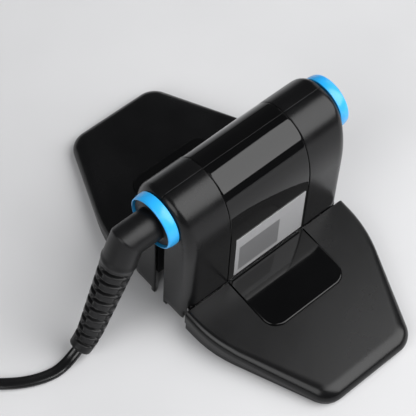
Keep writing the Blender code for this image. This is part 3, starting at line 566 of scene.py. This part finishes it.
def band_skin(label, side):
    """The glossy cover over the middle of one grip half: the same rows, with a small round at each end."""
    heights = low_rows(SEAM + 2 * FOLD_GAP, SEAM + FOLD_GAP)
    line, normal = with_rows(*edge_rows(*crown_section(72), 0.1), heights)
    window_low, window_high = SWITCH_WINDOW[:2]
    run, sunk = quarter(0.4, 4)
    right = [window_high, 16.0, 22.0, BAND_HALF - 1.0, *(BAND_HALF - run), BAND_HALF]
    right_depth = [0.0] * 4 + [*sunk, 0.8]
    left = [-v for v in right[:0:-1]] + [-window_high, window_low]
    left_depth = right_depth[:0:-1] + [0.0, 0.0]
    x = np.array(left + [0.0] + right)
    along = np.array(left_depth + [0.0] + right_depth)
    depth = along[None, :] + parting_depth(line, 0.1)[:, None]
    y = np.maximum(line[:, :1] - normal[:, :1] * depth, PARTING)
    z = line[:, 1:] - normal[:, 1:] * depth
    points = np.stack([np.broadcast_to(x, y.shape), y * side, z], axis=-1)
    keep = ~window_squares(points, SWITCH_WINDOW) if label == "far" else None
    faces = facing(grid_faces(len(line), len(x), keep=keep), side)
    piece = put(f"{label}_band", points.reshape(-1, 3), faces, LOOKS["piano"], f"{label}_grip",
                [f"{label}_band_cover"])
    tidy_loose(piece)
    wall(piece, COVER_WALL)
    return even_shading(piece)


# ---------------------------------------------------------------- wings

def wing_line():
    """A wing's plan in (x, y), with each point's outward way: root corner, straight side, large arc, taper,
    corner arc and outer edge. A point set in along its way keeps to the arcs' centres."""
    lean = math.atan(WING_TAPER)
    centre = np.array([WING_HALF - WING_SIDE_RADIUS, WING_SIDE_START])
    side = np.linspace(0, lean, 15)
    reach = centre + WING_SIDE_RADIUS * np.array([math.cos(lean), math.sin(lean)])
    corner_y = WING_REACH - WING_CORNER
    corner_x = reach[0] - WING_TAPER * (corner_y - reach[1]) - WING_CORNER / math.cos(lean)
    corner = np.linspace(lean, math.pi / 2, 13)
    base = [np.array([[WING_HALF, WING_ROOT], [WING_HALF, (WING_ROOT + WING_SIDE_START) / 2]])]
    way = [np.array([[1.0, 0.0]] * 2)]
    base.append(centre + WING_SIDE_RADIUS * np.stack([np.cos(side), np.sin(side)], 1))
    way.append(np.stack([np.cos(side), np.sin(side)], 1))
    way.append(np.stack([np.cos(corner), np.sin(corner)], 1))
    base.append(np.array([corner_x, corner_y]) + WING_CORNER * way[-1])
    base, way = np.vstack(base), np.vstack(way)
    middle = np.array([[0.0, WING_REACH]])
    base = np.vstack([base, middle, base[::-1] * [-1, 1]])
    way = np.vstack([way, [[0.0, 1.0]], way[::-1] * [-1, 1]])
    return base, way


def wing_top(y):
    """The height of a wing's flat top, which falls evenly from the grip."""
    return SEAM - WING_SLOPE * (y - HALF_WIDTH)


def shell_bottom(y):
    """The shell's lower rim, which falls evenly from the fold to the tip."""
    return SHELL_BOTTOM - (SHELL_BOTTOM - SHELL_TIP) * (y - WING_ROOT) / (WING_REACH - WING_ROOT)


def panel_line(grow, steps=14):
    """The glossy panel's plan in (x, y) from its right root corner round to the left, and its ways out."""
    half, reach, corner = RECESS_HALF + grow, PANEL_REACH + grow, PANEL_CORNER + grow
    t = np.linspace(0, math.pi / 2, steps)
    way = np.stack([np.cos(t), np.sin(t)], 1)
    arc = np.array([half - corner, reach - corner]) + corner * way
    root = np.array([[half, WING_ROOT], [half, PANEL_STRAIGHT]])
    base = np.vstack([root, arc])
    way = np.vstack([[[1.0, 0.0]] * 2, way])
    return np.vstack([base, base[::-1] * [-1, 1]]), np.vstack([way, way[::-1] * [-1, 1]])


def wing_skin(label, side):
    """A wing's satin top shell as one closed body.

    Each point of the plan carries a profile up the wall: a small round at the lip, the wall, then a quarter
    ellipse over the shoulder whose setback grows from root to tip. The top is one flat face with a notch for
    the panel's seat, whose wall and floor close it. A second notch under the root lets the grip's end walls
    pass.
    """
    base, way = wing_line()
    far = np.clip((base[:, 1] - WING_ROOT) / (WING_REACH - WING_ROOT), 0, 1)
    back = 3.4 + 5.0 * far**1.4
    top = wing_top(base[:, 1] - back * way[:, 1])
    low = shell_bottom(base[:, 1] - 0.5 * way[:, 1])
    drop = np.minimum(3.6 + 3.0 * far, top - low - 0.9)
    t = np.linspace(0, math.pi / 2, 12)
    inset = [np.full_like(back, 0.5), np.full_like(back, 0.12), np.zeros_like(back)]
    height = [low, low + 0.12, low + 0.5]
    inset += [back * (1 - math.cos(a)) for a in t]
    height += [top - drop * (1 - math.sin(a)) for a in t]
    inset, height = np.array(inset), np.array(height)
    plan = base[None] - inset[..., None] * way[None]
    plan[:, [0, -1], 1] = WING_ROOT
    height[0] = shell_bottom(plan[0, :, 1])
    height[-1] = wing_top(plan[-1, :, 1])
    ring = np.dstack([plan, height])
    rows, columns = ring.shape[:2]
    seat, _ = panel_line(0.0)
    upper = np.column_stack([seat, wing_top(seat[:, 1])])
    floor = np.column_stack([seat, wing_top(seat[:, 1]) - PANEL_SEAT])
    notch_x = END_X + FOLD_GAP
    right_notch = np.array([
        [notch_x, WING_ROOT, shell_bottom(WING_ROOT)],
        [notch_x, WING_ROOT, NOTCH_TOP],
        [notch_x, NOTCH_END, NOTCH_TOP],
        [notch_x, NOTCH_END, shell_bottom(NOTCH_END)],
    ])
    left_notch = right_notch * [-1, 1, 1]
    points = np.vstack([ring.reshape(-1, 3), upper, floor, right_notch, left_notch]) * [1, side, 1]
    first, n = rows * columns, len(seat)
    r0, r1, r2, r3, l0, l1, l2, l3 = range(first + 2 * n, first + 2 * n + 8)
    faces = grid_faces(rows, columns)
    last = (rows - 1) * columns
    faces.append([last + i for i in range(columns)] + [first + n - 1 - i for i in range(n)])
    faces += [[first + i, first + n + i, first + n + i + 1, first + i + 1] for i in range(n - 1)]
    faces.append([first + n + i for i in range(n)])
    faces.append(list(range(columns))[::-1] + [r0, r3, l3, l0])
    faces += [[r0, r1, r2, r3], [r3, r2, l2, l3], [l3, l2, l1, l0], [r1, l1, l2, r2]]
    right = [i * columns for i in range(rows)]
    left = [i * columns + columns - 1 for i in range(rows)]
    faces.append(right[::-1] + [r0, r1, l1, l0] + left + [first + n - 1, first + 2 * n - 1, first + n, first])
    piece = put(f"{label}_wing", points, faces, LOOKS["satin"], f"{label}_wing",
                [f"{label}_wing_shell"])
    outward(piece)
    piece.data.set_sharp_from_angle(angle=math.radians(38))
    return even_shading(piece)


def panel_skin(label, side):
    """The glossy panel on a wing: a slab with a round rim that rises out of its seat towards the wing's tip.

    The first ring is the slab's foot. The others follow a quarter round: rim (1 - cos t) in and
    rim (1 - sin t) down.
    """
    base, way = panel_line(-FOLD_GAP)
    t = np.linspace(0, math.pi / 2, 6)
    steps = np.r_[0.0, PANEL_RIM * (1 - np.cos(t))]
    downs = [None, *(PANEL_RIM * (1 - np.sin(t)))]
    rings = []
    for step, down in zip(steps, downs):
        plan = base - step * way
        plan[[0, -1], 1] = WING_ROOT
        top = SEAM - PANEL_SLOPE * (plan[:, 1] - HALF_WIDTH)
        foot = wing_top(plan[:, 1]) - PANEL_SEAT + FOLD_GAP
        rings.append(np.column_stack([plan, foot if down is None else np.maximum(top - down, foot)]))
    rows, columns = len(rings), len(base)
    points = np.vstack(rings) * [1, side, 1]
    faces = grid_faces(rows, columns)
    last = (rows - 1) * columns
    faces.append([last + i for i in range(columns)])
    faces.append(list(range(columns))[::-1])
    right = [i * columns for i in range(rows)]
    left = [i * columns + columns - 1 for i in range(rows)]
    faces.append(right[::-1] + left)
    piece = put(f"{label}_panel", points, faces, LOOKS["piano"], f"{label}_wing",
                [f"{label}_wing_panel"])
    return even_shading(outward(piece))


# ---------------------------------------------------------------- rings, hubs, elbow

def end_rings(end, sign):
    """The blue ring at one end and the dark hub inside it, which the lead passes through at the cord end."""
    ring = [(RING_BACK, RING_BORE, 0.3), (RING_BACK, RING_RADIUS, 0.5), (RING_BACK + 3.2, RING_RADIUS, 1.5),
            (RING_FRONT, RING_RADIUS - 0.7, 0.8), (RING_FRONT, RING_BORE, 0.35)]
    profile = rounded_profile(ring) * [sign, 1]
    revolve(f"{end}_blue_ring", profile, LOOKS["azure"], "spine", [f"{end}_ring"], turns=128)
    bore = LEAD_BORE if sign < 0 else 0.0
    rim, face = RING_FRONT - 1.4, RING_FRONT - 1.0
    hub = [(HUB_BACK, SHAFT_BORE, 0.2), (HUB_BACK, HUB_NECK, 0.3), (RING_BACK, HUB_NECK, 0.2),
           (RING_BACK, HUB_RADIUS, 0.3), (rim, HUB_RADIUS, 0.5), (rim, 11.2, 0.6), (face, 10.6, 0.5),
           (face, bore, 0.0), (HUB_FLOOR, bore, 0.0), (HUB_FLOOR, SHAFT_BORE, 0.2)]
    profile = rounded_profile(hub) * [sign, 1]
    revolve(f"{end}_hub_disc", profile, LOOKS["soft"], "spine", [f"{end}_hub"])


def elbow_route():
    """The elbow's centre line, as the frame has it: out of the hub, a bend, a straight fall, a sweep."""
    bend_x = ELBOW_START - BEND_START
    bend = np.linspace(0, ELBOW_FALL, 25)[1:]
    line = [np.array([[x, AXIS_HEIGHT] for x in (ELBOW_START, (ELBOW_START + bend_x) / 2, bend_x)])]
    x = bend_x - BEND_RADIUS * np.sin(bend)
    z = AXIS_HEIGHT - BEND_RADIUS * (1 - np.cos(bend))
    line.append(np.stack([x, z], 1))
    run = np.linspace(0, ELBOW_STRAIGHT, 40)[1:, None]
    line.append(line[-1][-1] - run * [math.cos(ELBOW_FALL), math.sin(ELBOW_FALL)])
    sweep = np.linspace(ELBOW_FALL, ELBOW_END, 12)[1:]
    x = line[-1][-1, 0] - SWEEP_RADIUS * (math.sin(ELBOW_FALL) - np.sin(sweep))
    z = line[-1][-1, 1] - SWEEP_RADIUS * (np.cos(sweep) - math.cos(ELBOW_FALL))
    line.append(np.stack([x, z], 1))
    line = np.vstack(line)
    return np.stack([line[:, 0], np.zeros(len(line)), line[:, 1]], 1)


def resample(points, step):
    """Reads a line at an even step along its length."""
    run = lengths(points)
    at = np.linspace(0, run[-1], int(run[-1] / step) + 1)
    return np.stack([np.interp(at, run, points[:, i]) for i in range(3)], 1), at


def soften(points, times):
    """Averages each inner point with its neighbours, which rounds the joins between runs and arcs."""
    for _ in range(times):
        points = np.vstack([points[:1], (points[:-2] + 2 * points[1:-1] + points[2:]) / 4, points[-1:]])
    return points


def slot_pattern(run, around):
    """How deep each point of the strain relief is pressed in, from 0 to 1: rows of staggered slots.

    A slot is where both a wave along the run and a wave round the tube pass their thresholds. The wave round
    the tube shifts by a quarter turn from row to row.
    """
    phase = (run - SLOTS_START) / SLOT_PITCH
    row = np.floor(phase)
    off_middle = np.abs(phase - row - 0.5) * SLOT_PITCH
    inside = (row >= 0) & (row < SLOT_ROWS)
    along = inside / (1 + np.exp((off_middle - 1.12) / 0.13))
    shift = np.where(row % 2 == 0, 0.0, math.pi / 2)[:, None]
    swing = np.abs(np.cos(around[None] - SLOTS_FACE + shift))
    return along[:, None] / (1 + np.exp(-(swing - 0.66) / 0.035))


def elbow_piece():
    """The moulded elbow: a tube whose radius tapers, with a slotted strain relief and a round end.

    In the bend the outer side is pushed out towards a mitred corner, by its distance from the bend's centre
    times (1 / cos(turn from the nearer end of the bend) - 1).
    """
    line, run = resample(soften(elbow_route(), 3), 0.3)
    total = run[-1]
    around = np.linspace(0, 2 * math.pi, 72, endpoint=False)
    taper = np.clip((run - RELIEF_START) / (total - RELIEF_START), 0, 1)
    radius = ELBOW_RADIUS + (ELBOW_TIP - ELBOW_RADIUS) * taper
    radius += 0.45 * np.exp(-(((run - RELIEF_START) / 1.6) ** 2))
    reach = radius[:, None] - SLOT_DEPTH * slot_pattern(run, around) * (radius / ELBOW_RADIUS)[:, None]
    lip = np.clip(RELIEF_LIP - (total - run), 0, RELIEF_LIP)
    reach -= (RELIEF_LIP - np.sqrt(np.maximum(RELIEF_LIP**2 - lip**2, 0)))[:, None]
    forward = unit(np.gradient(line, axis=0))
    across = np.tile([0.0, 1.0, 0.0], (len(line), 1))
    downward = np.cross(forward, across)
    ring = across[:, None] * np.cos(around)[:, None] + downward[:, None] * np.sin(around)[:, None]
    points = line[:, None] + reach[..., None] * ring
    turned = np.clip((run - BEND_START) / BEND_RADIUS, 0, ELBOW_FALL)
    turned = np.minimum(turned, ELBOW_FALL - turned)[:, None]
    corner = (BEND_RADIUS - reach * np.sin(around)[None]) * (1 / np.cos(turned) - 1)
    points -= CORNER_SHARE * corner[..., None] * downward[:, None]
    piece = put("elbow", points.reshape(-1, 3), tube_faces(*points.shape[:2]), LOOKS["soft"], "spine",
                ["elbow_strain_relief"])
    outward(piece)
    piece.data.set_sharp_from_angle(angle=math.radians(60))
    return piece


# ---------------------------------------------------------------- lead, coil, tie and plug

COIL_CENTRE = np.array([-222.8, 17.7])
COIL_OUTER_TURN = 47.8
COIL_PITCH = 3.46
COIL_TURNS = 7.0
LAID_HEIGHT = 1.9
WOUND_HEIGHT = 3.5
PLUG_ANGLE = 30.0
PLUG_RADIUS = 37.5
PLUG_HEIGHT = 13.7
CORD_ROUTE = [
    (-108.3, 0.0, 7.5),
    (-112.8, -0.3, 4.6),
    (-118.2, -0.8, 2.6),
    (-124.6, -0.8, LAID_HEIGHT),
    (-132.0, 1.0, LAID_HEIGHT),
    (-140.5, 4.9, LAID_HEIGHT),
    (-149.5, 11.2, LAID_HEIGHT),
    (-158.5, 19.4, LAID_HEIGHT),
    (-167.5, 28.2, LAID_HEIGHT),
    (-173.6, 33.9, LAID_HEIGHT),
]


def smooth_line(points, step):
    """A Catmull-Rom curve through the points, read at an even step."""
    p = np.asarray(points, float)
    p = np.vstack([2 * p[0] - p[1], p, 2 * p[-1] - p[-2]])
    t = np.linspace(0, 1, 16, endpoint=False)[None, :, None]
    a, b, c, d = (p[i : len(p) - 3 + i, None] for i in range(4))
    curve = (2 * b + (c - a) * t + (2 * a - 5 * b + 4 * c - d) * t**2 + (3 * b - a - 3 * c + d) * t**3) / 2
    curve = np.vstack([curve.reshape(-1, 3), p[-2]])
    return resample(curve, step)[0]


def plug_turn():
    """The plug's length lies along the turns under it: square to the radius that it sits on."""
    return math.radians(PLUG_ANGLE + 90.0)


def plug_centre():
    """Where the middle of the plug lies over the coil, in (x, y)."""
    angle = math.radians(PLUG_ANGLE)
    return COIL_CENTRE + PLUG_RADIUS * np.array([math.cos(angle), math.sin(angle)])


def wound_turns():
    """The coil's centre line and how far the flat lead stands on edge: a one-layer spiral, wound inwards.

    Radius = outer turn - pitch times turns. At the inner end the lead climbs out of the middle and drifts
    outwards to the back of the plug that lies on the turns.
    """
    start = math.degrees(math.atan2(34.9, 32.5)) + 6.0
    end_turn = start + 360.0 * COIL_TURNS
    angle = np.arange(start, end_turn, 24.0)
    radius = COIL_OUTER_TURN - COIL_PITCH * (angle - start) / 360.0
    height = np.full_like(angle, WOUND_HEIGHT)
    edge = np.ones_like(angle)
    inner = radius[-1]
    tail = PLUG_ANGLE - math.degrees(17.0 / PLUG_RADIUS)
    tail += 360.0 * math.ceil((angle[-1] + 150.0 - tail) / 360.0)
    climb = np.linspace(angle[-1] + 24.0, tail, int((tail - angle[-1]) / 20.0))
    share = (climb - angle[-1]) / (tail - angle[-1])
    out = np.clip((share - 0.45) / 0.55, 0, 1)
    rise = np.clip(share * 1.08, 0, 1)
    radius = np.r_[radius, inner + (PLUG_RADIUS - 0.6 - inner) * out**2 * (3 - 2 * out)]
    height = np.r_[height, WOUND_HEIGHT + (PLUG_HEIGHT - WOUND_HEIGHT) * rise**2 * (3 - 2 * rise)]
    edge = np.r_[edge, np.clip(1 - share * 2.4, 0, 1)]
    angle = np.radians(np.r_[angle, climb])
    x = COIL_CENTRE[0] + radius * np.cos(angle)
    y = COIL_CENTRE[1] + radius * np.sin(angle)
    return np.stack([x, y, height], 1), edge


def lead_line():
    """The whole lead from the strain relief to the plug, and how far it stands on edge at each point."""
    turns, edge = wound_turns()
    route = np.vstack([CORD_ROUTE, turns])
    edge = np.r_[np.zeros(len(CORD_ROUTE)), edge]
    back = plug_centre() - 13.2 * np.array([math.cos(plug_turn()), math.sin(plug_turn())])
    route = np.vstack([route, [[*back, PLUG_HEIGHT]]])
    edge = np.r_[edge, 0.0]
    run = lengths(route)
    line = smooth_line(route, 1.5)
    at = np.linspace(0, run[-1], len(line))
    return line, np.interp(at, run, edge)


def flat_lead():
    """The flat twin lead: a two-lobed oval carried along the line.

    Its outline is x = a sign(cos)|cos|^0.8, y = b sign(sin)|sin|^0.7, drawn in by a shallow groove at the
    middle of each flat. It turns about the line from lying flat to standing on edge where the lead is wound.
    """
    line, edge = lead_line()
    around = np.linspace(0, 2 * math.pi, 28, endpoint=False)
    c, s = np.cos(around), np.sin(around)
    wide = CORD_WIDTH / 2 * np.sign(c) * np.abs(c) ** 0.8
    thick = CORD_THICK / 2 * np.sign(s) * np.abs(s) ** 0.7 * (1 - 0.24 * np.exp(-((c / 0.2) ** 2)))
    forward = unit(np.gradient(line, axis=0))
    across = unit(np.cross([0.0, 0.0, 1.0], forward))
    upward = np.cross(forward, across)
    turn = edge[:, None] * math.pi / 2
    first = across * np.cos(turn) + upward * np.sin(turn)
    second = -across * np.sin(turn) + upward * np.cos(turn)
    points = line[:, None] + wide[None, :, None] * first[:, None] + thick[None, :, None] * second[:, None]
    piece = put("lead", points.reshape(-1, 3), tube_faces(*points.shape[:2]), LOOKS["sheath"], "spine",
                ["cord", "cord_coil"])
    outward(piece)
    piece.data.set_sharp_from_angle(angle=math.radians(60))
    return piece, line


def plug_piece():
    """The plug's body: rounded-box rings along its length, each a superellipse, narrowing to a short tail."""
    place = np.array([-13.0, -12.6, -11.5, -9.0, -5.0, 0.0, 5.0, 10.0, 12.2, 12.9, 13.0])
    width = np.array([4.4, 4.8, 5.4, 6.6, 8.6, 9.6, 9.8, 9.8, 9.6, 9.0, 8.2])
    tall = np.array([3.0, 3.3, 3.7, 4.4, 5.3, 5.8, 5.9, 5.9, 5.7, 5.2, 4.6])
    around = np.linspace(0, 2 * math.pi, 48, endpoint=False)
    c, s = np.cos(around), np.sin(around)
    grip = 1 - 0.035 * (np.sin(place * 2.4) > 0) * (np.abs(place) < 8)
    wide = (width * grip)[:, None] * np.sign(c) * np.abs(c) ** 0.55
    high = tall[:, None] * np.sign(s) * np.abs(s) ** 0.55
    points = np.stack([np.broadcast_to(place[:, None], wide.shape), wide, high], -1).reshape(-1, 3)
    turn = plug_turn()
    spin = np.array([[math.cos(turn), -math.sin(turn), 0], [math.sin(turn), math.cos(turn), 0], [0, 0, 1]])
    points = points @ spin.T + [*plug_centre(), PLUG_HEIGHT]
    faces = tube_faces(len(place), len(around))
    piece = put("plug", points, faces, LOOKS["soft"], "spine", ["plug_body"])
    return even_shading(outward(piece))


def dress_node(node, look, bevel=0.0):
    """Gives a frame node its material, smooth shading that keeps its corners, and small rounds on edges."""
    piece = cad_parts[node]
    piece.data.materials.clear()
    piece.data.materials.append(LOOKS[look])
    piece.data.polygons.foreach_set("use_smooth", [True] * len(piece.data.polygons))
    weld = piece.modifiers.new("weld", "WELD")
    weld.merge_threshold = 0.000004
    flat = piece.modifiers.new("flats", "DECIMATE")
    flat.decimate_type = "DISSOLVE"
    flat.angle_limit = math.radians(0.4)
    if bevel:
        edge = piece.modifiers.new("edges", "BEVEL")
        edge.width = bevel * MM
        edge.segments = 2
        edge.limit_method = "ANGLE"
        edge.angle_limit = math.radians(40)
        edge.harden_normals = False
    split = piece.modifiers.new("corners", "EDGE_SPLIT")
    split.split_angle = math.radians(50)
    even_shading(piece)
    return piece


NODE_LOOKS = {
    "wing_skirt": ("satin", 0.35),
    "soleplate": ("sole", 0.3),
    "inner_plate": ("soft", 0.25),
    "plate_screw": ("steel", 0.15),
    "hinge_pin": ("steel", 0.15),
    "heater": ("mica", 0.1),
    "insulation_pad": ("felt", 0.2),
    "thermostat": ("ceramic", 0.3),
    "thermal_fuse": ("brass", 0.2),
    "rating_label": ("foil", 0.0),
    "terminal_block": ("ceramic", 0.3),
    "switch_body": ("soft", 0.3),
    "switch_knob": ("soft", 0.25),
    "indicator_lens": ("amber", 0.3),
    "control_board": ("board", 0.1),
    "pivot_shaft": ("steel", 0.2),
    "grip_spring": ("steel", 0.0),
    "coil_tie": ("soft", 0.25),
    "plug_blade_1": ("brass", 0.3),
    "plug_blade_2": ("brass", 0.3),
}


def dress_nodes():
    """Dresses each frame node that no piece replaces, by the ending of its name."""
    for node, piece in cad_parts.items():
        if piece.hide_render:
            continue
        for ending, (look, bevel) in NODE_LOOKS.items():
            if node.endswith(ending):
                dress_node(node, look, bevel)


def floor_piece():
    """A plain pale floor under everything, which isn't part of the object."""
    mesh = bpy.data.meshes.new("floor")
    size = 4.0
    corners = [(-size, -size, 0), (size, -size, 0), (size, size, 0), (-size, size, 0)]
    mesh.from_pydata(corners, [], [(0, 1, 2, 3)])
    made, nodes, links, shader = new_material("pale_floor")
    tone = noise(nodes, links, object_points(nodes, links), 6.0)
    pale = two_tone(nodes, links, tone, (0.60, 0.60, 0.61), (0.64, 0.64, 0.65))
    links.new(pale, shader.inputs["Base Color"])
    shader.inputs["Roughness"].default_value = 0.7
    mesh.materials.append(made)
    floor = bpy.data.objects.new("floor", mesh)
    bpy.context.scene.collection.objects.link(floor)


set_camera()
LOOKS = make_materials()
lead, lead_points = flat_lead()
plug_body = plug_piece()
elbow_piece()
for label, side in SIDES.items():
    grip_skin(label, side)
    band_skin(label, side)
    wing_skin(label, side)
    panel_skin(label, side)
for end, sign in ENDS.items():
    end_rings(end, sign)
dress_nodes()
floor_piece()
light_studio()
